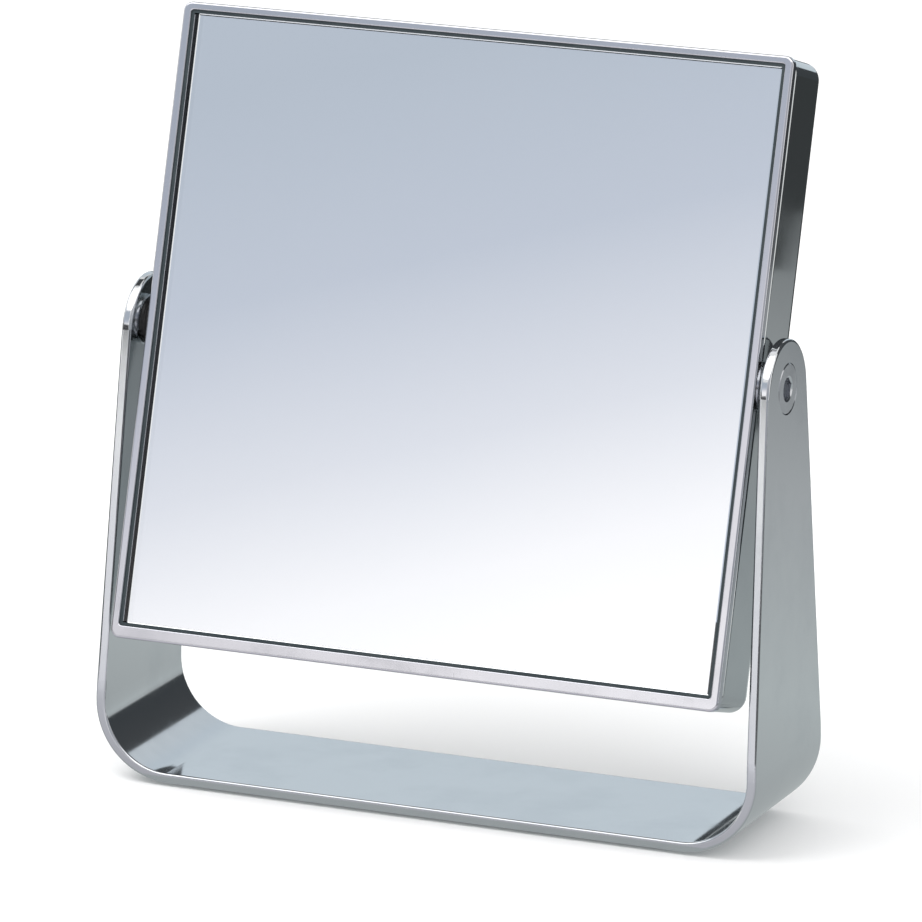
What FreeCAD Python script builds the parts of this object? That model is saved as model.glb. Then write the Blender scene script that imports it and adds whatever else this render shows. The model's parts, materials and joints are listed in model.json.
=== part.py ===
"""Countertop mirror: a square framed mirror that tilts between the arms of a bent metal stand.

Frame: +X to the right, +Y to the back, +Z up, millimetres. The origin is the middle of the
underside of the base pad. The head's parts are drawn upright, with the tilt axis as their
local X axis and local -Y towards the person, and their Placement tilts and lifts them.
"""
import FreeCAD, Part
import os
import re
import Sketcher
from FreeCAD import Placement, Rotation, Vector

SIZES = {
    # stand
    "pad_thickness": 1.0,
    "pad_inset": 4.0,
    "band_thickness": 3.0,
    "band_width_at_pivot": 204.0,
    "arm_lean": 1.5,
    "base_depth": 55.0,
    "taper_start_height": 27.5,
    "taper_blend_radius": 50.0,
    "arm_end_radius": 15.9,
    "arm_end_drop": 1.5,
    "bend_radius": 23.0,
    "rim_radius": 0.8,
    "pivot_height": 134.9,
    "tilt_angle": 16.0,
    # pivots
    "counterbore_radius": 7.6,
    "counterbore_depth": 1.6,
    "seat_radius": 7.8,
    "seat_depth": 0.3,
    "bushing_radius": 5.5,
    "bushing_bore_radius": 4.55,
    "bushing_flange_radius": 7.0,
    "bushing_flange": 0.8,
    "friction_washer_radius": 6.6,
    "friction_washer": 0.9,
    "screw_head_radius": 7.45,
    "screw_head": 1.5,
    "screw_head_chamfer": 0.25,
    "shoulder_radius": 4.5,
    "shank_radius": 3.0,
    "socket_radius": 3.5,
    "socket_depth": 3.2,
    "socket_mouth": 0.35,
    "running_gap": 0.1,
    "spacer_radius": 7.5,
    "spacer_thickness": 1.5,
    "spacer_edge": 0.4,
    "block_length": 12.0,
    "block_height": 30.0,
    "block_front": 5.0,
    "block_back": 6.0,
    "block_edge": 1.0,
    "lock_washer_radius": 5.5,
    "lock_washer": 1.4,
    "nut_radius": 5.77,
    "nut_thickness": 5.0,
    "thread_end": 1.5,
    # head
    "head_width": 192.1,
    "head_height": 189.2,
    "head_front": 11.1,
    "head_back": 17.3,
    "corner_radius": 2.8,
    "bezel_face_side": 2.5,
    "bezel_face_top": 2.3,
    "bezel_face_bottom": 3.7,
    "bezel_depth": 2.7,
    "bezel_front_edge": 0.7,
    "bezel_inner_edge": 0.35,
    "opening_corner": 0.9,
    "seam_gap": 0.3,
    "shell_wall": 1.6,
    "shell_front_edge": 1.1,
    "shell_corner_radius": 5.0,
    "shell_inner_corner": 2.0,
    "shell_back_edge": 6.0,
    "skirt_gap": 0.1,
    "skirt_depth": 3.0,
    "glass_recess": 0.5,
    "glass_thickness": 3.0,
    "glass_edge": 0.3,
    "gasket_width": 1.0,
    "gasket_recess": 0.15,
    "coating_thickness": 0.15,
    "tape_thickness": 1.0,
    "tape_width": 15.0,
    "tape_height": 150.0,
    "tape_pitch": 56.0,
    "plate_thickness": 2.0,
    "plate_margin": 5.5,
    "plate_notch_depth": 22.0,
    "plate_notch_height": 36.0,
    "post_radius": 3.5,
    "post_across": 82.0,
    "post_up": 80.0,
    "small_screw_radius": 1.5,
    "small_screw_head_radius": 2.8,
    "small_screw_head": 1.6,
    "small_screw_length": 8.0,
    "block_screw_up": 10.5,
    "block_screw_length": 12.0,
    "block_sink": 2.0,
}
SIDES = {"left": -1, "right": 1}
TURN_TO_X = Rotation(Vector(0, 1, 0), 90)
TURN_TO_Y = Rotation(Vector(1, 0, 0), -90)

doc = FreeCAD.newDocument("CountertopMirror")
sub_parts = []


def make_sheet():
    """The driving dimensions, one named cell each."""
    sheet = doc.addObject("Spreadsheet::Sheet", "Sizes")
    for row, (name, value) in enumerate(SIZES.items(), start=1):
        sheet.set("A%d" % row, name)
        sheet.set("B%d" % row, str(value))
        sheet.setAlias("B%d" % row, name)
    doc.recompute()


def cells(text):
    """Turn plain size names in an expression into references to the sheet's cells."""
    return re.sub("[a-z_]+", lambda word: ("Sizes." if word[0] in SIZES else "") + word[0], text)


def bind(item, path, text):
    item.setExpression(path, cells(text))


def finish(item, node, in_head=False):
    """Name a sub-part for its file, and put a head part in its tilted place."""
    item.Label = node
    if in_head:
        item.Placement = Placement(Vector(0, 0, 0), Rotation(Vector(1, 0, 0), -1))
        bind(item, "Placement.Base.z", "pivot_height")
        bind(item, "Placement.Rotation.Angle", "-1 * tilt_angle")
    sub_parts.append(item)


# ---- sketches and features inside a body ----

def new_body(name):
    return doc.addObject("PartDesign::Body", name + "_body")


def new_sketch(body, name, role, offset="0"):
    """An empty sketch on one of the body's own origin planes, moved along its normal."""
    sketch = body.newObject("Sketcher::SketchObject", name)
    plane = next(item for item in body.Origin.OriginFeatures if item.Role == role)
    sketch.AttachmentSupport = [(plane, "")]
    sketch.MapMode = "FlatFace"
    bind(sketch, "AttachmentOffset.Base.z", offset)
    return sketch


def constrain(sketch, text, kind, *where):
    """Add a dimension whose value is an expression of the sheet."""
    index = sketch.addConstraint(Sketcher.Constraint(kind, *where, 1.0))
    bind(sketch, "Constraints[%d]" % index, text)


def polygon(sketch, corners):
    """A closed outline through corners given as (x, y) starting values and expressions.

    Each corner is (x value, y value, x expression, y expression). An expression is the
    distance from the origin; the value's sign says on which side of it the corner lies.
    """
    first = sketch.GeometryCount
    count = len(corners)
    for index, (x, y, _, _) in enumerate(corners):
        next_x, next_y = corners[(index + 1) % count][:2]
        sketch.addGeometry(Part.LineSegment(Vector(x, y, 0), Vector(next_x, next_y, 0)))
    for index in range(count):
        here, after = first + index, first + (index + 1) % count
        sketch.addConstraint(Sketcher.Constraint("Coincident", here, 2, after, 1))
    for index, (x, y, x_text, y_text) in enumerate(corners):
        point = (first + index, 1)
        origin = (-1, 1)
        for kind, value, text in (("DistanceX", x, x_text), ("DistanceY", y, y_text)):
            ends = point + origin if value < 0 else origin + point
            constrain(sketch, text, kind, *ends)


def rectangle(sketch, half_x, above, below=None):
    """A rectangle round the origin, from expressions of its reach to the sides, up and down."""
    below = below or above
    polygon(sketch, [(1, 1, half_x, above), (-1, 1, half_x, above),
                     (-1, -1, half_x, below), (1, -1, half_x, below)])


def circle(sketch, height, radius):
    """A circle on the sketch's vertical axis."""
    index = sketch.addGeometry(Part.Circle(Vector(0, 100, 0), Vector(0, 0, 1), 5))
    sketch.addConstraint(Sketcher.Constraint("PointOnObject", index, 3, -2))
    constrain(sketch, height, "DistanceY", -1, 1, index, 3)
    constrain(sketch, radius, "Radius", index)


def pad(body, sketch, length, midplane=False):
    feature = body.newObject("PartDesign::Pad", sketch.Name + "_pad")
    feature.Profile = sketch
    feature.Midplane = midplane
    bind(feature, "Length", length)
    doc.recompute()
    return feature


def pocket(body, sketch, length, midplane=False, reverse=False):
    """Cut a pocket, and make sure that it took material away."""
    before = body.Shape.Volume
    feature = body.newObject("PartDesign::Pocket", sketch.Name + "_pocket")
    feature.Profile = sketch
    feature.Midplane = midplane
    feature.Reversed = reverse
    bind(feature, "Length", length)
    doc.recompute()
    if body.Shape.Volume >= before:
        raise RuntimeError(sketch.Name + " cuts nothing")
    return feature


def round_edges(body, name, chosen, radius):
    """Fillet the body's edges for which chosen(edge) is true."""
    base = body.Tip
    edges = ["Edge%d" % number for number, edge in enumerate(base.Shape.Edges, start=1)
             if chosen(edge)]
    feature = body.newObject("PartDesign::Fillet", name)
    feature.Base = (base, edges)
    bind(feature, "Radius", radius)
    doc.recompute()
    return feature


def box_of(edge):
    return edge.BoundBox


def lies_along_y(edge):
    box = box_of(edge)
    return box.YLength > 0.5 and box.XLength < 0.01 and box.ZLength < 0.01


def at_depth(depth):
    """Pick the edges of a head part that lie in the plane local y = depth."""
    def chosen(edge):
        box = box_of(edge)
        return abs(box.YMin - depth) < 0.01 and abs(box.YMax - depth) < 0.01
    return chosen


# ---- primitives and booleans ----

def x_solid(kind, name, side, inner, outer, **sizes):
    """A primitive along X, from `inner` to `outer` away from the middle on one side."""
    item = doc.addObject("Part::" + kind, name)
    for path, text in sizes.items():
        bind(item, path, text)
    item.Placement = Placement(Vector(0, 0, 0), TURN_TO_X)
    bind(item, "Height", "( %s ) - ( %s )" % (outer, inner))
    bind(item, "Placement.Base.x", inner if side > 0 else "-1 * ( %s )" % outer)
    return item


def x_cone(name, side, inner, outer, inner_radius, outer_radius):
    """A cone along X whose radii are given at its inner and outer ends."""
    low, high = (inner_radius, outer_radius) if side > 0 else (outer_radius, inner_radius)
    return x_solid("Cone", name, side, inner, outer, Radius1=low, Radius2=high)


def x_cylinder(name, side, inner, outer, radius):
    return x_solid("Cylinder", name, side, inner, outer, Radius=radius)


def y_solid(kind, name, front, back, x="0", z="0", **sizes):
    """A primitive along local Y from `front` to `back`, centred on (x, z)."""
    item = doc.addObject("Part::" + kind, name)
    for path, text in sizes.items():
        bind(item, path, text)
    item.Placement = Placement(Vector(0, 0, 0), TURN_TO_Y)
    bind(item, "Height", "( %s ) - ( %s )" % (back, front))
    bind(item, "Placement.Base.x", x)
    bind(item, "Placement.Base.y", front)
    bind(item, "Placement.Base.z", z)
    return item


def y_cylinder(name, front, back, radius, x="0", z="0"):
    return y_solid("Cylinder", name, front, back, x, z, Radius=radius)


def block(name, low, size):
    """A Part::Box from expressions of its low corner and its size."""
    item = doc.addObject("Part::Box", name)
    for path, text in zip(("Length", "Width", "Height"), size):
        bind(item, path, text)
    for path, text in zip("xyz", low):
        bind(item, "Placement.Base." + path, text)
    return item


def joined(name, items):
    item = doc.addObject("Part::MultiFuse", name)
    item.Shapes = items
    return item


def grouped(name, items):
    item = doc.addObject("Part::Compound", name)
    item.Links = items
    return item


def cut(name, base, tools):
    """The base less one or more tools."""
    item = doc.addObject("Part::Cut", name)
    item.Base = base
    item.Tool = tools[0] if len(tools) == 1 else joined(name + "_tools", tools)
    return item


# ---- the stand ----

ARM_FACE = "band_width_at_pivot / 2"
ARM_INSIDE = ARM_FACE + " - band_thickness"
BASE_HALF = "( " + ARM_FACE + " + ( pivot_height - pad_thickness ) * tan(arm_lean * 1deg) )"
TOP_HALF = "( " + ARM_FACE + " - arm_end_radius * 2 * tan(arm_lean * 1deg) )"
BAND_WALL = "( band_thickness / cos(arm_lean * 1deg) )"


def make_band():
    """The bent strip: a base and two leaning, tapered arms with rounded ends."""
    body = new_body("stand_band")
    profile = new_sketch(body, "band_profile", "XZ_Plane")
    bottom = "pad_thickness"
    floor = "pad_thickness + band_thickness"
    top = "pivot_height + 2 * arm_end_radius"
    inner_bottom = BASE_HALF + " - " + BAND_WALL + " - band_thickness * tan(arm_lean * 1deg)"
    inner_top = TOP_HALF + " - " + BAND_WALL
    polygon(profile, [
        (106, 1, BASE_HALF, bottom), (101, 164, TOP_HALF, top),
        (98, 164, inner_top, top), (102, 4, inner_bottom, floor),
        (-102, 4, inner_bottom, floor), (-98, 164, inner_top, top),
        (-101, 164, TOP_HALF, top), (-106, 1, BASE_HALF, bottom)])
    pad(body, profile, "base_depth", midplane=True)
    low = SIZES["pad_thickness"] + SIZES["band_thickness"] + 0.1
    middle = SIZES["pad_thickness"] + 0.1

    def outer_corner(edge):
        return lies_along_y(edge) and box_of(edge).ZMax < middle

    def inner_corner(edge):
        return lies_along_y(edge) and middle < box_of(edge).ZMax < low
    round_edges(body, "outer_bends", outer_corner, "bend_radius")
    round_edges(body, "inner_bends", inner_corner, "bend_radius - band_thickness")
    cut_side_outline(body)
    cut_pivot_holes(body)

    def kink(edge):
        box = box_of(edge)
        at_taper = abs(box.ZMin - SIZES["taper_start_height"]) < 1
        return at_taper and box.ZLength < 1 and box.YLength < 0.01
    round_edges(body, "taper_blends", kink, "taper_blend_radius")
    round_edges(body, "band_rims", is_band_rim, "rim_radius")
    finish(body, "stand_band")


def cut_side_outline(body):
    """Trim the strip to its side outline: straight below, tapered above, round at the top."""
    side = new_sketch(body, "side_outline", "YZ_Plane")
    half, radius = SIZES["base_depth"] / 2, SIZES["arm_end_radius"]
    low, high = SIZES["taper_start_height"], SIZES["pivot_height"] - SIZES["arm_end_drop"]
    points = [Vector(half, -20, 0), Vector(half, low, 0), Vector(radius, high, 0)]
    mirror = [Vector(-point.x, point.y, 0) for point in reversed(points)]
    top = Vector(0, high + radius, 0)
    first = sketch_lines(side, [points[0], points[1], points[2]])
    arc = side.addGeometry(Part.Arc(points[2], top, mirror[0]))
    second = sketch_lines(side, mirror)
    close = side.addGeometry(Part.LineSegment(mirror[2], points[0]))
    joins = [("Coincident", first, 2, first + 1, 1), ("Coincident", second, 2, second + 1, 1),
             ("Coincident", second + 1, 2, close, 1), ("Coincident", close, 2, first, 1),
             ("Tangent", first + 1, 2, arc, 1), ("Tangent", arc, 2, second, 1),
             ("Vertical", first), ("Vertical", second + 1), ("Horizontal", close),
             ("PointOnObject", arc, 3, -2)]
    for join in joins:
        side.addConstraint(Sketcher.Constraint(*join))
    constrain(side, "arm_end_radius", "Radius", arc)
    constrain(side, "pivot_height - arm_end_drop", "DistanceY", -1, 1, arc, 3)
    constrain(side, "base_depth / 2", "DistanceX", -1, 1, first, 2)
    constrain(side, "base_depth / 2", "DistanceX", second, 2, -1, 1)
    constrain(side, "taper_start_height", "DistanceY", -1, 1, first, 2)
    constrain(side, "taper_start_height", "DistanceY", -1, 1, second, 2)
    constrain(side, "pad_thickness + 20", "DistanceY", first, 1, -1, 1)
    outside = "base_depth"
    above = "pivot_height + 4 * arm_end_radius"
    polygon(side, [(60, -40, outside, "pad_thickness + 40"), (60, 200, outside, above),
                   (-60, 200, outside, above), (-60, -40, outside, "pad_thickness + 40")])
    pocket(body, side, "2 * band_width_at_pivot", midplane=True)


def sketch_lines(sketch, points):
    """Lines through the points; returns the index of the first."""
    first = sketch.GeometryCount
    for start, end in zip(points, points[1:]):
        sketch.addGeometry(Part.LineSegment(start, end))
    return first


def cut_pivot_holes(body):
    """Bore both arms, sink the screw heads outside and face the bushing seats inside."""
    bore = new_sketch(body, "bushing_bore", "YZ_Plane")
    circle(bore, "pivot_height", "bushing_radius")
    pocket(body, bore, "2 * band_width_at_pivot", midplane=True)
    for name, sign in SIDES.items():
        place = "%d * ( %s - counterbore_depth )" % (sign, ARM_FACE)
        sink = new_sketch(body, "counterbore_" + name, "YZ_Plane", place)
        circle(sink, "pivot_height", "counterbore_radius")
        pocket(body, sink, "band_thickness * 4", reverse=sign > 0)
    seat = new_sketch(body, "bushing_seats", "YZ_Plane")
    circle(seat, "pivot_height", "seat_radius")
    pocket(body, seat, "2 * ( %s + seat_depth )" % ARM_INSIDE, midplane=True)


def is_band_rim(edge):
    """The long edges of the strip, away from the pivot holes."""
    box = box_of(edge)
    long_way = max(box.XLength, box.YLength, box.ZLength)
    high = SIZES["pivot_height"]
    small_hole = SIZES["seat_radius"] * 2 + 0.5
    round_hole = box.YLength < small_hole and abs(box.Center.z - high) < 1
    across_strip = box.XLength < 3.4 and box.YLength < 0.7 and box.ZLength < 4
    return long_way > 2 and not round_hole and not across_strip


def make_base_pad():
    """A thin rubber sheet under the flat of the base, with rounded corners."""
    body = new_body("base_pad")
    outline = new_sketch(body, "pad_outline", "XY_Plane")
    rectangle(outline, BASE_HALF + " - bend_radius - pad_inset", "base_depth / 2 - pad_inset")
    pad(body, outline, "pad_thickness")

    def upright(edge):
        return box_of(edge).ZLength > 0.5
    round_edges(body, "pad_corners", upright, "pad_inset")
    finish(body, "base_pad")


def make_bushings():
    """A flanged plastic bush pressed into each arm from the inside."""
    seat = ARM_INSIDE + " + seat_depth"
    for name, side in SIDES.items():
        tube = x_cylinder("bush_tube_" + name, side, "%s - bushing_flange" % seat,
                          ARM_FACE + " - counterbore_depth - running_gap", "bushing_radius")
        flange = x_cylinder("bush_flange_" + name, side, "%s - bushing_flange" % seat, seat,
                            "bushing_flange_radius")
        bore = x_cylinder("bush_bore_" + name, side, ARM_INSIDE + " - 5", ARM_FACE,
                          "bushing_bore_radius")
        body = joined("bush_body_" + name, [tube, flange])
        bush = cut("arm_bushing_%s_cut" % name, body, [bore])
        bind(bush, "Placement.Base.z", "pivot_height")
        finish(bush, "arm_bushing_" + name)


# ---- the head's shells ----

BEZEL_BACK = "( bezel_depth - head_front )"
SHELL_FRONT = "( bezel_depth + seam_gap - head_front )"
GLASS_FRONT = "( glass_recess - head_front )"
GLASS_BACK = "( glass_recess + glass_thickness - head_front )"
COATING_BACK = "( glass_recess + glass_thickness + coating_thickness - head_front )"
PLATE_FRONT = "( %s + tape_thickness )" % COATING_BACK
PLATE_BACK = "( %s + plate_thickness )" % PLATE_FRONT
INNER_WALL = "( head_width / 2 - shell_wall )"
OUTSIDE = ("head_width / 2", "head_height / 2")
CAVITY = (INNER_WALL, "head_height / 2 - shell_wall")
OPENING = ("head_width / 2 - bezel_face_side", "head_height / 2 - bezel_face_top",
           "head_height / 2 - bezel_face_bottom")
PANE = tuple("( %s - gasket_width )" % edge for edge in OPENING)


def depth_of(text):
    """The value of a depth expression made only of sizes, sums and differences."""
    total, sign = 0.0, 1
    for word in text.replace("(", " ").replace(")", " ").split():
        if word in ("+", "-"):
            sign = 1 if word == "+" else -1
        else:
            total += sign * SIZES[word]
    return total


def layer(body, name, reach, front, back):
    """A rectangular plate round the tilt axis, between two depths."""
    outline = new_sketch(body, name, "XZ_Plane", "-1 * ( %s )" % back)
    rectangle(outline, *reach)
    return pad(body, outline, "( %s ) - ( %s )" % (back, front))


def hollow(body, name, reach, front, back):
    """Cut a rectangular hollow round the tilt axis, between two depths."""
    outline = new_sketch(body, name, "XZ_Plane", "-1 * ( %s )" % front)
    rectangle(outline, *reach)
    return pocket(body, outline, "( %s ) - ( %s )" % (back, front))


def is_opening_edge(edge):
    """Whether an edge of the frame lies on its opening rather than on its outside."""
    box = box_of(edge)
    far_x = SIZES["head_width"] / 2 - SIZES["bezel_face_side"] + 0.05
    far_z = SIZES["head_height"] / 2 - SIZES["bezel_face_top"] + 0.05
    return max(abs(box.XMin), abs(box.XMax)) < far_x and max(abs(box.ZMin), abs(box.ZMax)) < far_z


def make_bezel():
    """The front frame: a bright ring with a skirt that slides into the back shell."""
    body = new_body("front_bezel")
    layer(body, "bezel_ring", OUTSIDE, "-1 * head_front", BEZEL_BACK)
    round_edges(body, "bezel_corners", lies_along_y, "corner_radius")
    skirt_back = "%s + skirt_depth" % BEZEL_BACK
    skirt = tuple("%s - skirt_gap" % edge for edge in CAVITY)
    layer(body, "bezel_skirt", skirt, BEZEL_BACK, skirt_back)

    def skirt_corner(edge):
        return lies_along_y(edge) and box_of(edge).YMax > depth_of(BEZEL_BACK) + 1
    round_edges(body, "skirt_corners", skirt_corner, "shell_inner_corner")
    hollow(body, "bezel_opening", OPENING, "-1 * head_front", skirt_back)

    def opening_corner(edge):
        return lies_along_y(edge) and is_opening_edge(edge)
    round_edges(body, "opening_corners", opening_corner, "opening_corner")
    front = at_depth(-SIZES["head_front"])

    def outer_front(edge):
        return front(edge) and not is_opening_edge(edge)

    def inner_front(edge):
        return front(edge) and is_opening_edge(edge)
    round_edges(body, "bezel_outer_edge", outer_front, "bezel_front_edge")
    round_edges(body, "bezel_inner_lip", inner_front, "bezel_inner_edge")
    finish(body, "front_bezel", in_head=True)


def rounded_box(name, reach, back, corner, back_edge):
    """A solid from the shell's front plane to `back`, with rounded corners and back edge."""
    body = new_body(name)
    layer(body, name + "_block", reach, SHELL_FRONT, back)
    front = depth_of(SHELL_FRONT)
    round_edges(body, name + "_corners", lies_along_y, corner)

    def behind(edge):
        return box_of(edge).YMin > front + 1
    round_edges(body, name + "_back_edge", behind, back_edge)
    return body


def make_back_shell():
    """The pressed back: a rounded tray with screw posts and holes for the pivots."""
    body = rounded_box("shell_outside", OUTSIDE, "head_back", "shell_corner_radius",
                       "shell_back_edge")
    front = at_depth(depth_of(SHELL_FRONT))
    round_edges(body, "shell_front_lip", front, "shell_front_edge")
    cavity = rounded_box("shell_cavity", CAVITY, "head_back - shell_wall",
                         "shell_inner_corner", "shell_back_edge - shell_wall")
    tray = cut("shell_tray", body, [cavity])
    holes = []
    posts = []
    sunk = "head_back - shell_wall / 2"
    for place, (x, z) in plate_screw_places().items():
        posts.append(y_cylinder("post_" + place, PLATE_BACK, sunk, "post_radius", x, z))
        holes.append(y_cylinder("post_hole_" + place, PLATE_BACK, "head_back - 2 * shell_wall",
                                "small_screw_radius", x, z))
    for place, (x, z) in block_screw_places().items():
        posts.append(y_cylinder("stud_" + place, "block_back", sunk, "post_radius", x, z))
        holes.append(y_cylinder("stud_hole_" + place, "block_back", "head_back - 1.5 * shell_wall",
                                "small_screw_radius", x, z))
    for name, side in SIDES.items():
        holes.append(x_cylinder("shell_bore_" + name, side, INNER_WALL + " - 1",
                                "head_width / 2 + 1", "shank_radius + running_gap"))
    shell = cut("back_shell_cut", joined("shell_with_posts", [tray] + posts), holes)
    finish(shell, "back_shell", in_head=True)


# ---- the mirror and what holds it ----

def make_glass():
    """The pane, with a small polished edge in front."""
    body = new_body("mirror_glass")
    layer(body, "glass_pane", PANE, GLASS_FRONT, GLASS_BACK)
    feature = body.newObject("PartDesign::Chamfer", "glass_arris")
    base = body.getObject("glass_pane_pad")
    front = at_depth(depth_of(GLASS_FRONT))
    edges = ["Edge%d" % number for number, edge in enumerate(base.Shape.Edges, start=1)
             if front(edge)]
    feature.Base = (base, edges)
    bind(feature, "Size", "glass_edge")
    doc.recompute()
    finish(body, "mirror_glass", in_head=True)


def make_coating():
    """The silver and its backing paint."""
    body = new_body("mirror_coating")
    layer(body, "coating_film", PANE, GLASS_BACK, COATING_BACK)
    finish(body, "mirror_coating", in_head=True)


def make_gasket():
    """A thin dark seal that fills the gap between the pane and the frame."""
    body = new_body("glass_gasket")
    front = "%s + gasket_recess" % GLASS_FRONT
    layer(body, "gasket_block", OPENING, front, GLASS_BACK)
    round_edges(body, "gasket_corners", lies_along_y, "opening_corner")
    hollow(body, "gasket_hole", PANE, front, GLASS_BACK)
    finish(body, "glass_gasket", in_head=True)


def make_tapes():
    """Three strips of foam tape between the pane and the plate."""
    for name, step in (("left", -1), ("middle", 0), ("right", 1)):
        strip = block("foam_tape_%s_box" % name,
                      ("%d * tape_pitch - tape_width / 2" % step, COATING_BACK, "-1 * tape_height / 2"),
                      ("tape_width", "tape_thickness", "tape_height"))
        finish(grouped("foam_tape_%s_strip" % name, [strip]), "foam_tape_" + name, in_head=True)


def plate_screw_places():
    return {"%s_%s" % (high, wide): ("%d * post_across" % x, "%d * post_up" % z)
            for high, z in (("upper", 1), ("lower", -1)) for wide, x in SIDES.items()}


def block_screw_places():
    across = "%d * ( head_width / 2 - shell_wall - block_length / 2 )"
    return {"%s_%s" % (high, wide): (across % x, "%d * block_screw_up" % z)
            for high, z in (("above", 1), ("below", -1)) for wide, x in SIDES.items()}


def make_backing_plate():
    """The plate that carries the pane, notched at the sides to clear the pivots."""
    body = new_body("backing_plate")
    reach = tuple("%s - plate_margin" % edge for edge in CAVITY)
    layer(body, "plate_blank", reach, PLATE_FRONT, PLATE_BACK)
    round_edges(body, "plate_corners", lies_along_y, "corner_radius")
    tools = []
    for name, side in SIDES.items():
        left_edge = "head_width / 2 - plate_notch_depth" if side > 0 else "-1 * head_width / 2"
        tools.append(block("plate_notch_" + name,
                           (left_edge, PLATE_FRONT + " - 1", "-1 * plate_notch_height / 2"),
                           ("plate_notch_depth", "plate_thickness + 2", "plate_notch_height")))
    for place, (x, z) in plate_screw_places().items():
        tools.append(y_cylinder("plate_hole_" + place, PLATE_FRONT + " - 1", PLATE_BACK + " + 1",
                                "small_screw_radius + running_gap", x, z))
        tools.append(y_solid("Cone", "plate_sink_" + place, PLATE_FRONT,
                             PLATE_FRONT + " + small_screw_head", x, z,
                             Radius1="small_screw_head_radius + running_gap",
                             Radius2="small_screw_radius + running_gap"))
    finish(cut("backing_plate_cut", body, tools), "backing_plate", in_head=True)


def make_plate_screws():
    """Four countersunk screws through the plate into the shell's posts."""
    screws = []
    for place, (x, z) in plate_screw_places().items():
        head = y_solid("Cone", "plate_screw_head_" + place, PLATE_FRONT,
                       PLATE_FRONT + " + small_screw_head", x, z,
                       Radius1="small_screw_head_radius", Radius2="small_screw_radius")
        shank = y_cylinder("plate_screw_shank_" + place, PLATE_FRONT,
                           PLATE_FRONT + " + small_screw_length", "small_screw_radius", x, z)
        screws.append(joined("plate_screw_" + place, [head, shank]))
    finish(grouped("plate_screw_group", screws), "backing_plate_screws", in_head=True)


# ---- the tilt pivots ----

def make_pivot_blocks():
    """A threaded metal block behind each side wall takes the pivot screw."""
    for name, side in SIDES.items():
        low_x = INNER_WALL + " - block_length" if side > 0 else "-1 * " + INNER_WALL
        blank = block("block_blank_" + name, (low_x, "-1 * block_front", "-1 * block_height / 2"),
                      ("block_length", "block_front + block_back", "block_height"))
        doc.recompute()
        rounded = doc.addObject("Part::Fillet", "block_rounded_" + name)
        rounded.Base = blank
        radius = SIZES["block_edge"]
        edges = [number for number, edge in enumerate(blank.Shape.Edges, start=1)
                 if lies_along_y(edge)]
        rounded.Edges = [(number, radius, radius) for number in edges]
        tools = [x_cylinder("block_bore_" + name, side, INNER_WALL + " - block_length - 1",
                            INNER_WALL + " + 1", "shank_radius")]
        for place, (x, z) in block_screw_places().items():
            if place.endswith(name):
                tools.append(y_cylinder("block_hole_" + place, "-1 * block_front - 1",
                                        "block_back + 1", "small_screw_radius + running_gap", x, z))
                tools.append(y_cylinder("block_sink_" + place, "-1 * block_front - 1",
                                        "block_sink - block_front", "small_screw_head_radius + running_gap",
                                        x, z))
        finish(cut("pivot_block_%s_cut" % name, rounded, tools), "pivot_block_" + name, in_head=True)


def make_block_screws():
    """Four cap screws that hold the two blocks to the shell's studs."""
    screws = []
    for place, (x, z) in block_screw_places().items():
        head = y_cylinder("block_screw_head_" + place, "block_sink - block_front - small_screw_head",
                          "block_sink - block_front", "small_screw_head_radius", x, z)
        shank = y_cylinder("block_screw_shank_" + place, "block_sink - block_front",
                           "block_sink - block_front + block_screw_length", "small_screw_radius",
                           x, z)
        screws.append(joined("block_screw_" + place, [head, shank]))
    finish(grouped("block_screw_group", screws), "pivot_block_screws", in_head=True)


def make_pivot_screws():
    """Shoulder screws: a flat disc head flush in the arm, a socket, a shoulder and a thread."""
    head_in = ARM_FACE + " - counterbore_depth + running_gap"
    head_out = head_in + " + screw_head"
    nut_end = INNER_WALL + " - block_length - lock_washer - nut_thickness"
    for name, side in SIDES.items():
        disc = x_cylinder("screw_disc_" + name, side, head_in, head_out + " - screw_head_chamfer",
                          "screw_head_radius")
        edge = x_cone("screw_edge_" + name, side, head_out + " - screw_head_chamfer", head_out,
                      "screw_head_radius", "screw_head_radius - screw_head_chamfer")
        shoulder = x_cylinder("screw_shoulder_" + name, side, "head_width / 2", head_in,
                              "shoulder_radius")
        shank = x_cylinder("screw_shank_" + name, side, nut_end + " - thread_end",
                           "head_width / 2", "shank_radius")
        solid = joined("screw_solid_" + name, [disc, edge, shoulder, shank])
        socket = x_solid("Prism", "screw_socket_" + name, side, head_out + " - socket_depth",
                         head_out + " + 1", Circumradius="socket_radius")
        mouth = x_cone("screw_mouth_" + name, side, head_out + " - socket_mouth",
                       head_out, "socket_radius * 0.9", "socket_radius + socket_mouth")
        finish(cut("pivot_screw_%s_cut" % name, solid, [socket, mouth]), "pivot_screw_" + name,
               in_head=True)


def make_spacers():
    """A bright washer between each arm and the head, with softened rims."""
    for name, side in SIDES.items():
        inner, outer = "head_width / 2", "head_width / 2 + spacer_thickness"
        narrow = "spacer_radius - spacer_edge"
        inside = x_cone("spacer_inside_" + name, side, inner, inner + " + spacer_edge",
                        narrow, "spacer_radius")
        middle = x_cylinder("spacer_middle_" + name, side, inner + " + spacer_edge",
                            outer + " - spacer_edge", "spacer_radius")
        outside = x_cone("spacer_outside_" + name, side, outer + " - spacer_edge", outer,
                         "spacer_radius", narrow)
        bore = x_cylinder("spacer_bore_" + name, side, inner + " - 1", outer + " + 1",
                          "shoulder_radius")
        disc = joined("spacer_disc_" + name, [inside, middle, outside])
        finish(cut("spacer_%s_cut" % name, disc, [bore]), "spacer_washer_" + name, in_head=True)


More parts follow.
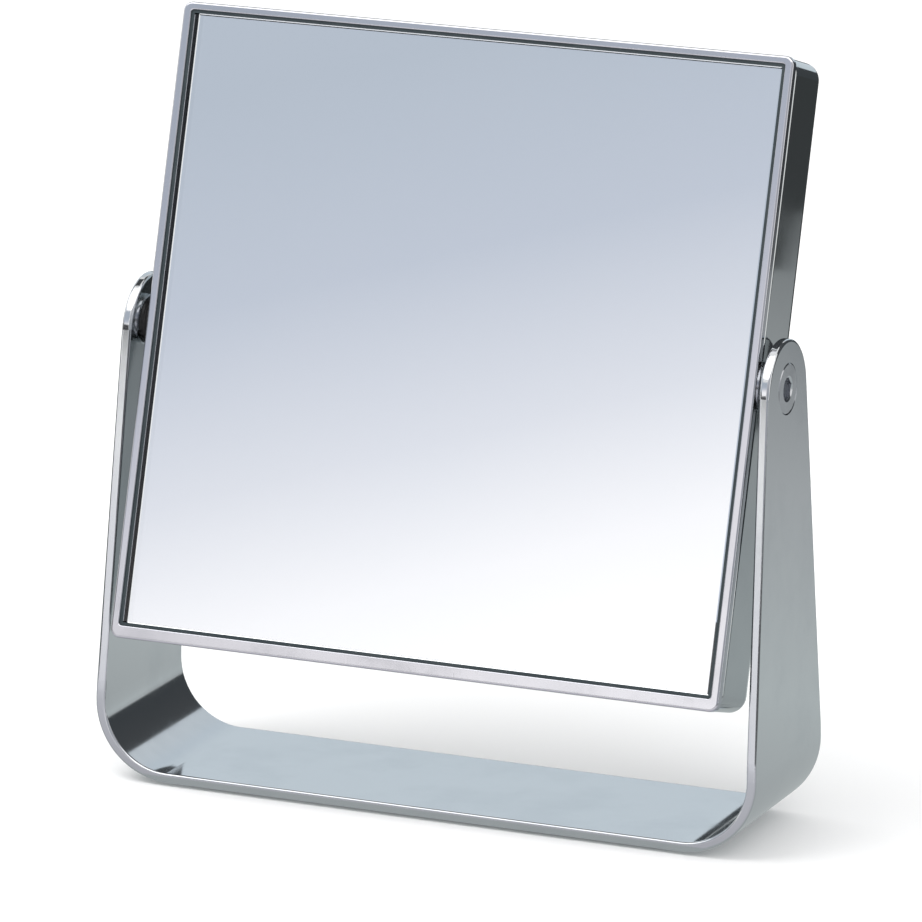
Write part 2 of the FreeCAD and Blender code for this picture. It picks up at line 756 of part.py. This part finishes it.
def make_friction_washers():
    """A dark nylon ring that rubs between each spacer and its bush."""
    for name, side in SIDES.items():
        inner = "head_width / 2 + spacer_thickness"
        outer = inner + " + friction_washer"
        ring = x_cylinder("friction_ring_" + name, side, inner, outer, "friction_washer_radius")
        bore = x_cylinder("friction_bore_" + name, side, inner + " - 1", outer + " + 1",
                          "shoulder_radius")
        finish(cut("friction_washer_%s_cut" % name, ring, [bore]), "friction_washer_" + name,
               in_head=True)


def make_nuts_and_washers():
    """A split lock washer and a hexagon nut on the inner end of each pivot screw."""
    washer_out = INNER_WALL + " - block_length"
    washer_in = washer_out + " - lock_washer"
    nut_in = washer_in + " - nut_thickness"
    for name, side in SIDES.items():
        ring = x_cylinder("lock_ring_" + name, side, washer_in, washer_out, "lock_washer_radius")
        hole = x_cylinder("lock_hole_" + name, side, washer_in + " - 1", washer_out + " + 1",
                          "shank_radius + running_gap / 2")
        low_x = washer_in + " - 1" if side > 0 else "-1 * ( %s ) - 1" % washer_out
        split = block("lock_split_" + name, (low_x, "0 - lock_washer / 2", "0"),
                      ("lock_washer + 2", "lock_washer * 0.7", "lock_washer_radius + 1"))
        finish(cut("lock_washer_%s_cut" % name, ring, [hole, split]), "lock_washer_" + name,
               in_head=True)
        prism = x_solid("Prism", "nut_prism_" + name, side, nut_in, washer_in,
                        Circumradius="nut_radius")
        thread = x_cylinder("nut_thread_" + name, side, nut_in + " - 1", washer_in + " + 1",
                            "shank_radius")
        finish(cut("lock_nut_%s_cut" % name, prism, [thread]), "lock_nut_" + name, in_head=True)


def check_and_export():
    """Stop on any failed object or bad shape, then write one STEP file per sub-part."""
    doc.recompute()
    for item in doc.Objects:
        if {"Invalid", "Error"} & set(item.State):
            raise RuntimeError("%s failed: %s" % (item.Name, item.State))
    for item in sub_parts:
        if item.Shape.isNull() or not item.Shape.isValid():
            raise RuntimeError(item.Label + " has a bad shape")
    os.makedirs("parts", exist_ok=True)
    for item in sub_parts:
        item.Shape.exportStep("parts/%s.step" % item.Label)
        box = item.Shape.BoundBox
        print("%-22s solids %d  volume %9.1f  x %.2f..%.2f  y %.2f..%.2f  z %.2f..%.2f" % (
            item.Label, len(item.Shape.Solids), item.Shape.Volume,
            box.XMin, box.XMax, box.YMin, box.YMax, box.ZMin, box.ZMax))


make_sheet()
make_band()
make_base_pad()
make_bushings()
make_bezel()
make_back_shell()
make_glass()
make_coating()
make_gasket()
make_tapes()
make_backing_plate()
make_plate_screws()
make_pivot_blocks()
make_block_screws()
make_pivot_screws()
make_spacers()
make_friction_washers()
make_nuts_and_washers()
check_and_export()
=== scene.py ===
"""Countertop mirror: the CAD frame dressed with materials, on a pale studio floor."""
import json
import math

import bpy
from mathutils import Matrix, Vector


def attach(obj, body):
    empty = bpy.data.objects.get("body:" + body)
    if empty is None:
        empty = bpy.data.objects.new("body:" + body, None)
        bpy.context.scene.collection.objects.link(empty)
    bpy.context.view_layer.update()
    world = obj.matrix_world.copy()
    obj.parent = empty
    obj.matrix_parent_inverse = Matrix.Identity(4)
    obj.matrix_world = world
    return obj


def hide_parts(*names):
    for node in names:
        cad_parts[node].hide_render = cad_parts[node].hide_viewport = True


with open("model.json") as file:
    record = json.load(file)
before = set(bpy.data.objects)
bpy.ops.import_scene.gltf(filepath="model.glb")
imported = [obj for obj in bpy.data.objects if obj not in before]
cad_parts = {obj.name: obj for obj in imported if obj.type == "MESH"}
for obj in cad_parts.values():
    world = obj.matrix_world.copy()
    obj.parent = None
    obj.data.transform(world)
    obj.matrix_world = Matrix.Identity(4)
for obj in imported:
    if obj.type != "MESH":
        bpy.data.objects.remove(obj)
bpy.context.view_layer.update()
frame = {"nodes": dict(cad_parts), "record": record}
NODES = frame["nodes"]

# ---- the view: where the camera stands, in degrees and metres ----
AZIMUTH, ELEVATION, ROLL = 22.607, 14.306, 0.655
DISTANCE = 2.2474
AIM = Vector((0.00024, 0.0, 0.1028))
FOCAL_FRAMES = 8.3156  # focal length as a multiple of the frame's width
SHIFT = 0.0011
SENSOR_MM = 36.0
CLIP_END = 50.0

# ---- small distances, in metres ----
FILM_GAP = 0.00005    # the film's face lies this far inside the back of the pane
FILM_INSET = 0.00004  # and stays this far from the pane's edges
FLOOR_CARD = 0.0006   # heights of the cards that lie over the floor, lowest first
SIDE_CARD = 0.0008
FAR_CARD = 0.002
OVERHEAD_CARD = 1.25
FLOOR_HALF = 7.0
FRONT_WALL = 1.5      # distances of the upright cards from the tilt axis
BACK_WALL = 1.6

# ---- render settings of the look itself ----
BOUNCES = 16
TRANSMISSION_BOUNCES = 12
GLOSSY_BOUNCES = 10
GLASS_IOR = 1.52


# ---- small helpers for node trees ----

class Tree:
    """A material's node tree, with short ways to add and join nodes."""

    def __init__(self, name):
        self.material = bpy.data.materials.new(name)
        self.material.use_nodes = True
        self.nodes = self.material.node_tree.nodes
        self.links = self.material.node_tree.links
        self.nodes.clear()
        self.output = self.add("ShaderNodeOutputMaterial")
        self.place = self.add("ShaderNodeTexCoord").outputs["Object"]

    def add(self, kind, **settings):
        node = self.nodes.new(kind)
        for key, value in settings.items():
            setattr(node, key, value)
        return node

    def put(self, value, socket):
        if isinstance(value, bpy.types.NodeSocket):
            self.links.new(value, socket)
        elif isinstance(value, (tuple, list)) and len(value) == 3 and socket.type == "RGBA":
            socket.default_value = (*value, 1.0)
        else:
            socket.default_value = value

    def math(self, operation, first, second=0.0, clamp=False):
        node = self.add("ShaderNodeMath", operation=operation, use_clamp=clamp)
        self.put(first, node.inputs[0])
        self.put(second, node.inputs[1])
        return node.outputs[0]

    def remap(self, value, low, high, to_low, to_high, smooth=False):
        kind = "SMOOTHSTEP" if smooth else "LINEAR"
        node = self.add("ShaderNodeMapRange", interpolation_type=kind)
        for socket, item in zip(node.inputs, (value, low, high, to_low, to_high)):
            self.put(item, socket)
        return node.outputs[0]

    def mix(self, share, first, second):
        node = self.add("ShaderNodeMix", data_type="RGBA")
        self.put(share, node.inputs["Factor"])
        self.put(first, node.inputs[6])
        self.put(second, node.inputs[7])
        return node.outputs[2]

    def stretched(self, scale, turn=(0.0, 0.0, 0.0), place=None):
        node = self.add("ShaderNodeMapping")
        self.put(place or self.place, node.inputs["Vector"])
        node.inputs["Scale"].default_value = scale
        node.inputs["Rotation"].default_value = turn
        return node.outputs[0]

    def noise(self, scale, detail=4.0, rough=0.55, place=None):
        node = self.add("ShaderNodeTexNoise")
        self.put(place or self.place, node.inputs["Vector"])
        node.inputs["Scale"].default_value = scale
        node.inputs["Detail"].default_value = detail
        node.inputs["Roughness"].default_value = rough
        return node.outputs["Fac"]

    def bump(self, height, strength, distance, normal=None):
        node = self.add("ShaderNodeBump")
        self.put(height, node.inputs["Height"])
        node.inputs["Strength"].default_value = strength
        node.inputs["Distance"].default_value = distance
        if normal is not None:
            self.put(normal, node.inputs["Normal"])
        return node.outputs[0]

    def scratches(self, scale, turn, thin=0.004):
        """Fine, nearly straight lines where a stretched noise crosses its middle, broken up."""
        long_way = self.stretched((1.0, 1.0, 0.05), turn)
        off_middle = self.math("SUBTRACT", self.noise(scale, 1.0, 0.4, long_way), 0.5)
        line = self.remap(self.math("ABSOLUTE", off_middle), 0.0, thin, 1.0, 0.0)
        broken = self.remap(self.noise(scale * 0.35, 2.0), 0.52, 0.62, 0.0, 1.0)
        return self.math("MULTIPLY", line, broken)

    def surface(self, **sockets):
        """A Principled shader; an underscore in a keyword stands for a space in its socket."""
        shader = self.add("ShaderNodeBsdfPrincipled")
        for name, value in sockets.items():
            self.put(value, shader.inputs[name.replace("_", " ")])
        self.links.new(shader.outputs[0], self.output.inputs["Surface"])
        return self.material


def chrome(name, colour, dull, roughness, smudge=0.05, waviness=0.4):
    """Bright plate: faint handling haze, hairline scratches and a slow waviness."""
    tree = Tree(name)
    haze = tree.remap(tree.noise(38.0, 5.0, 0.6), 0.42, 0.72, 0.0, 1.0, smooth=True)
    fine = tree.noise(2600.0, 3.0, 0.6)
    marks = tree.math("MAXIMUM", tree.scratches(210.0, (0.3, 0.9, 0.2)),
                      tree.scratches(330.0, (1.1, 0.2, 1.3)))
    tint = tree.mix(tree.math("MULTIPLY", haze, 0.5), colour, dull)
    tint = tree.mix(tree.math("MULTIPLY", marks, 0.25), tint, dull)
    rough = tree.math("ADD", tree.remap(haze, 0.0, 1.0, roughness, roughness + smudge),
                      tree.math("MULTIPLY", marks, 0.06))
    wave = tree.bump(tree.noise(9.0, 1.0, 0.3), waviness, 0.00006)
    grain = tree.bump(fine, 0.10, 0.000004, wave)
    grain = tree.bump(marks, 0.15, 0.000006, grain)
    return tree.surface(Base_Color=tint, Metallic=1.0, Roughness=rough, Normal=grain)


def turned(name, colour, dull, roughness):
    """Turned and plated steel: concentric rings about the tilt axis under thin plate."""
    tree = Tree(name)
    rings = tree.noise(5200.0, 2.0, 0.6, tree.stretched((0.02, 1.0, 1.0)))
    haze = tree.noise(160.0, 4.0)
    tint = tree.mix(haze, colour, dull)
    rough = tree.remap(haze, 0.3, 0.7, roughness, roughness + 0.08)
    return tree.surface(Base_Color=tint, Metallic=1.0, Roughness=rough,
                        Normal=tree.bump(rings, 0.2, 0.00001))


def dark_solid(name, colour, worn, roughness, grain_scale, depth, metallic=0.0):
    """Rubber, foam, nylon or moulded plastic, from its grain and its wear."""
    tree = Tree(name)
    grain = tree.noise(grain_scale, 6.0, 0.65)
    patch = tree.remap(tree.noise(75.0, 3.0), 0.4, 0.7, 0.0, 1.0, smooth=True)
    tint = tree.mix(tree.math("MULTIPLY", patch, 0.6), colour, worn)
    rough = tree.remap(grain, 0.25, 0.75, roughness - 0.08, roughness + 0.08)
    return tree.surface(Base_Color=tint, Metallic=metallic, Roughness=rough,
                        Normal=tree.bump(grain, 0.5, depth))


def pane(name):
    """Clear float glass with the faintest haze of wiping."""
    tree = Tree(name)
    wipe = tree.noise(55.0, 4.0, 0.6, tree.stretched((1.0, 1.0, 0.35), (0.0, 0.7, 0.0)))
    rough = tree.remap(wipe, 0.55, 0.8, 0.0, 0.012)
    tint = tree.mix(tree.noise(20.0, 2.0), (0.965, 0.985, 0.98), (0.975, 0.988, 0.985))
    return tree.surface(Base_Color=tint, Roughness=rough, IOR=GLASS_IOR,
                        Transmission_Weight=1.0)


def silver(name):
    """The mirror film, with slow thickness changes that the eye hardly sees."""
    tree = Tree(name)
    slow = tree.noise(14.0, 2.0)
    tint = tree.mix(slow, (0.90, 0.915, 0.94), (0.925, 0.93, 0.945))
    wave = tree.bump(slow, 0.12, 0.00001)
    return tree.surface(Base_Color=tint, Metallic=1.0, Roughness=0.004, Normal=wave)


MATERIALS = {
    "stand_chrome": chrome("stand_chrome", (0.70, 0.715, 0.73), (0.62, 0.64, 0.66), 0.085),
    "bezel_chrome": chrome("bezel_chrome", (0.69, 0.69, 0.72), (0.61, 0.61, 0.64), 0.09),
    "shell_chrome": chrome("shell_chrome", (0.66, 0.68, 0.68), (0.60, 0.62, 0.63), 0.06),
    "pivot_chrome": turned("pivot_chrome", (0.68, 0.69, 0.71), (0.58, 0.59, 0.61), 0.12),
    "zinc": turned("zinc", (0.55, 0.56, 0.58), (0.42, 0.43, 0.45), 0.32),
    "pad_rubber": dark_solid("pad_rubber", (0.020, 0.020, 0.022), (0.045, 0.045, 0.046),
                             0.78, 3200.0, 0.00004),
    "bush_plastic": dark_solid("bush_plastic", (0.030, 0.030, 0.032), (0.05, 0.05, 0.052),
                               0.42, 2400.0, 0.00001),
    "gasket": dark_solid("gasket", (0.018, 0.030, 0.035), (0.035, 0.048, 0.052),
                         0.40, 2600.0, 0.00001),
    "tape": dark_solid("tape", (0.05, 0.05, 0.055), (0.08, 0.08, 0.085), 0.85, 1800.0, 0.00008),
    "plate": dark_solid("plate", (0.06, 0.06, 0.065), (0.09, 0.09, 0.095), 0.5, 2000.0, 0.00002),
    "nylon": dark_solid("nylon", (0.022, 0.022, 0.024), (0.04, 0.04, 0.042),
                        0.38, 2600.0, 0.00001),
    "glass": pane("glass"),
    "silver": silver("silver"),
}
SLOT_OF = {part["node"]: part["material_slot"] for part in frame["record"]["subparts"]}


def dress(obj, slot):
    obj.data.materials.clear()
    obj.data.materials.append(MATERIALS[slot])


def mesh_object(name, corners, faces):
    mesh = bpy.data.meshes.new(name)
    mesh.from_pydata([tuple(corner) for corner in corners], [], faces)
    mesh.update()
    obj = bpy.data.objects.new(name, mesh)
    bpy.context.scene.collection.objects.link(obj)
    return obj


def dress_nodes():
    for name, node in NODES.items():
        dress(node, SLOT_OF[name])


def head_tilt():
    """How far the head leans back, from the pane's own widest face."""
    mesh = NODES["mirror_glass"].data
    face = max(mesh.polygons, key=lambda polygon: polygon.area)
    return math.atan2(abs(face.normal.z), abs(face.normal.y))


def make_silver():
    """The reflecting face, a hair inside the back of the pane so that light never strays."""
    film = NODES["mirror_coating"]
    turn = Matrix.Rotation(head_tilt(), 3, "X")
    back = turn.inverted()
    upright_film = [turn @ v.co for v in film.data.vertices]
    low = Vector(min(p[i] for p in upright_film) for i in range(3))
    high = Vector(max(p[i] for p in upright_film) for i in range(3))
    x_low, x_high = low.x + FILM_INSET, high.x - FILM_INSET
    z_low, z_high = low.z + FILM_INSET, high.z - FILM_INSET
    y = low.y - FILM_GAP
    corners = [back @ Vector(corner) for corner in (
        (x_low, y, z_low), (x_high, y, z_low), (x_high, y, z_high), (x_low, y, z_high))]
    piece = mesh_object("mirror_silver", corners, [(0, 1, 2, 3)])
    dress(piece, "silver")
    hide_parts("mirror_coating")
    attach(piece, "head")


# ---- the studio ----

UP = (0.0, 0.0, 1.0)
BACK = (0.0, 1.0, 0.0)
DOWN_RIGHT = (0.574, 0.0, -0.819)  # the front card's glow grows this way

# The painted light and shade of the cards, which only reflections see, as (distance along a
# direction in metres, colour) stops.
FRONT = [(-0.83, (0.52, 0.57, 0.65)), (-0.74, (0.59, 0.63, 0.72)), (-0.66, (0.82, 0.83, 0.89)),
         (-0.60, (1.08, 1.06, 1.08)), (-0.40, (1.5, 1.5, 1.5))]
FRONT_GAP = [(0.09, (0.05, 0.05, 0.055)), (0.30, (0.10, 0.10, 0.105))]
FRONT_RIGHT = [(0.2, (0.40, 0.42, 0.46)), (0.9, (0.60, 0.60, 0.64))]
OVERHEAD = [(-1.4, (2.2, 2.2, 2.2)), (0.1, (1.9, 1.9, 1.95))]
BEHIND_LEFT = [(0.4, (0.66, 0.74, 0.80)), (0.6, (0.62, 0.70, 0.77)), (1.0, (0.70, 0.74, 0.77))]
BEHIND_DARK = [(0.1, (0.055, 0.062, 0.068)), (0.9, (0.07, 0.075, 0.08))]
# The floor cards paint the floor's reflection; their darkening towards the stand is painted
# shadow.
PAINTED_FLOOR_REFLECTION_NEAR = [(0.0, (0.42, 0.45, 0.455)), (0.15, (0.52, 0.565, 0.57)),
              (0.40, (0.45, 0.475, 0.485)), (0.68, (0.29, 0.31, 0.32))]
PAINTED_FLOOR_REFLECTION_FRONT = [(-0.6, (0.95, 0.95, 0.99)), (-0.2, (0.80, 0.80, 0.85)),
               (-0.04, (0.52, 0.52, 0.56))]
PAINTED_FLOOR_REFLECTION_SIDE = [(-0.6, (0.10, 0.10, 0.11)), (0.1, (0.14, 0.15, 0.15))]
PAINTED_FLOOR_REFLECTION_FAR = [(0.4, (0.055, 0.060, 0.063)), (1.2, (0.045, 0.05, 0.052))]


def shades_along(tree, direction, stops):
    """A colour that passes through (distance, colour) stops along a direction."""
    dot = tree.add("ShaderNodeVectorMath", operation="DOT_PRODUCT")
    tree.put(tree.place, dot.inputs[0])
    dot.inputs[1].default_value = direction
    here, colour = stops[0]
    for there, shade in stops[1:]:
        share = tree.remap(dot.outputs["Value"], here, there, 0.0, 1.0)
        colour = tree.mix(share, colour, shade)
        here = there
    return colour


def card(name, corners, direction, stops):
    """A card that glows in shades along a direction, and that only reflections see: a painted
    reflection that lights no diffuse surface and casts no shadow.
    """
    tree = Tree(name)
    glow = tree.add("ShaderNodeEmission")
    tree.put(shades_along(tree, direction, stops), glow.inputs["Color"])
    tree.links.new(glow.outputs[0], tree.output.inputs["Surface"])
    obj = mesh_object(name, corners, [tuple(range(len(corners)))])
    obj.data.materials.append(tree.material)
    obj.visible_camera = False
    obj.visible_diffuse = False
    obj.visible_shadow = False


def upright(azimuth_from, azimuth_to, low, high, radius):
    """Corners of an upright card between two azimuths and two heights."""
    corners = []
    for azimuth, z in ((azimuth_from, low), (azimuth_to, low),
                       (azimuth_to, high), (azimuth_from, high)):
        angle = math.radians(azimuth)
        corners.append((radius * math.sin(angle), radius * math.cos(angle), z))
    return corners


def level(height, *places):
    """Corners of a level card over the given (x, y) places."""
    return [(x, y, height) for x, y in places]


def flat(x_low, x_high, y_low, y_high, height=FLOOR_CARD):
    """Corners of a level rectangle, by default just over the floor."""
    return level(height, (x_low, y_low), (x_high, y_low), (x_high, y_high), (x_low, y_high))


def make_cards():
    """Painted reflections: glowing cards for what the bright metal and the mirror see round
    them.
    """
    card("card_front", upright(-110, -178, 0.31, 0.95, FRONT_WALL), DOWN_RIGHT, FRONT)
    card("card_front_gap", upright(-110, -178, 0.088, 0.31, FRONT_WALL), UP, FRONT_GAP)
    card("card_front_right", upright(178, 95, 0.05, 1.2, FRONT_WALL), UP, FRONT_RIGHT)
    card("card_overhead", flat(-1.7, 1.2, -1.3, 0.1, OVERHEAD_CARD), BACK, OVERHEAD)
    card("card_behind_left", upright(-80, 10, 0.18, 1.1, BACK_WALL), UP, BEHIND_LEFT)
    card("card_behind_dark", upright(10, 60, 0.0, 2.6, BACK_WALL), UP, BEHIND_DARK)
    card("card_behind_high", upright(-80, 10, 1.3, 2.6, BACK_WALL), UP, BEHIND_DARK)
    card("card_behind_low", upright(-80, 10, 0.0, 0.18, BACK_WALL), UP, BEHIND_DARK)
    # Over the real floor: a painted reflection of it, with painted shadow near the stand.
    card("card_painted_floor_reflection", flat(-0.9, 1.6, -0.035, 1.9), BACK, PAINTED_FLOOR_REFLECTION_NEAR)
    card("card_painted_floor_reflection_front", flat(-1.6, 0.3, -1.6, -0.035), BACK, PAINTED_FLOOR_REFLECTION_FRONT)
    card("card_painted_floor_reflection_right", flat(0.3, 1.6, -1.6, 0.08, SIDE_CARD), BACK, PAINTED_FLOOR_REFLECTION_SIDE)
    card("card_painted_floor_reflection_left", flat(-1.6, -0.33, -0.5, 0.9, SIDE_CARD), BACK, PAINTED_FLOOR_REFLECTION_SIDE)
    card("card_painted_floor_reflection_far", flat(-1.6, 1.6, 0.79, 1.9, FAR_CARD), BACK, PAINTED_FLOOR_REFLECTION_FAR)
    card("card_painted_floor_reflection_far_right", level(FAR_CARD, (0.345, 0.69), (1.6, 0.69), (1.6, 0.79),
                                       (0.374, 0.79)), BACK, PAINTED_FLOOR_REFLECTION_FAR)
    card("card_painted_floor_reflection_far_left", level(FAR_CARD, (-1.6, 0.42), (0.205, 0.42), (0.335, 0.79),
                                      (-1.6, 0.79)), BACK, PAINTED_FLOOR_REFLECTION_FAR)


def make_floor():
    corners = flat(-FLOOR_HALF, FLOOR_HALF, -FLOOR_HALF, FLOOR_HALF, 0.0)
    floor = mesh_object("studio_floor", corners, [(0, 1, 2, 3)])
    tree = Tree("studio_floor")
    grain = tree.noise(900.0, 3.0)
    tint = tree.mix(grain, (0.90, 0.90, 0.90), (0.92, 0.92, 0.92))
    floor.data.materials.append(tree.surface(Base_Color=tint, Roughness=0.9,
                                             Normal=tree.bump(grain, 0.1, 0.00002)))


def area_light(name, place, aim, size, power):
    """A soft light that reflections don't see; power is in watts."""
    light = bpy.data.lights.new(name, "AREA")
    light.shape = "RECTANGLE"
    light.size = light.size_y = size
    light.energy = power
    obj = bpy.data.objects.new(name, light)
    bpy.context.scene.collection.objects.link(obj)
    obj.location = place
    obj.rotation_euler = (Vector(aim) - Vector(place)).to_track_quat("-Z", "Y").to_euler()
    obj.visible_glossy = False
    obj.visible_camera = False


def make_lights():
    area_light("key", (-0.9, -0.6, 2.0), (0, 0, 0.05), 1.6, 26.0)
    area_light("fill", (1.4, -1.5, 1.6), (0, 0, 0.1), 1.6, 12.0)


def make_world():
    world = bpy.data.worlds.new("studio")
    world.use_nodes = True
    bpy.context.scene.world = world
    background = world.node_tree.nodes["Background"]
    background.inputs["Color"].default_value = (1.0, 1.0, 1.0, 1.0)
    background.inputs["Strength"].default_value = 1.0


def make_camera():
    """The camera on its azimuth, elevation and distance from AIM, rolled about its view."""
    azimuth, elevation, roll = map(math.radians, (AZIMUTH, ELEVATION, ROLL))
    back = Vector((math.sin(azimuth) * math.cos(elevation),
                   -math.cos(azimuth) * math.cos(elevation), math.sin(elevation)))
    side = (-back).cross(Vector((0, 0, 1))).normalized()
    up = side.cross(-back)
    right = math.cos(roll) * side + math.sin(roll) * up
    above = math.cos(roll) * up - math.sin(roll) * side
    data = bpy.data.cameras.new("camera")
    data.sensor_width = SENSOR_MM
    data.lens = FOCAL_FRAMES * SENSOR_MM
    data.shift_x, data.shift_y = SHIFT, -SHIFT
    data.clip_end = CLIP_END
    camera = bpy.data.objects.new("camera", data)
    bpy.context.scene.collection.objects.link(camera)
    turn = Matrix((right, above, back)).transposed().to_4x4()
    camera.matrix_world = Matrix.Translation(AIM + back * DISTANCE) @ turn
    bpy.context.scene.camera = camera


def set_light_paths():
    """Enough bounces for metal that reflects metal, and for the pane in front of the film."""
    scene = bpy.context.scene
    scene.view_settings.view_transform = "Standard"
    scene.cycles.max_bounces = BOUNCES
    scene.cycles.transmission_bounces = TRANSMISSION_BOUNCES
    scene.cycles.glossy_bounces = GLOSSY_BOUNCES


dress_nodes()
make_silver()
make_floor()
make_cards()
make_lights()
make_world()
make_camera()
set_light_paths()
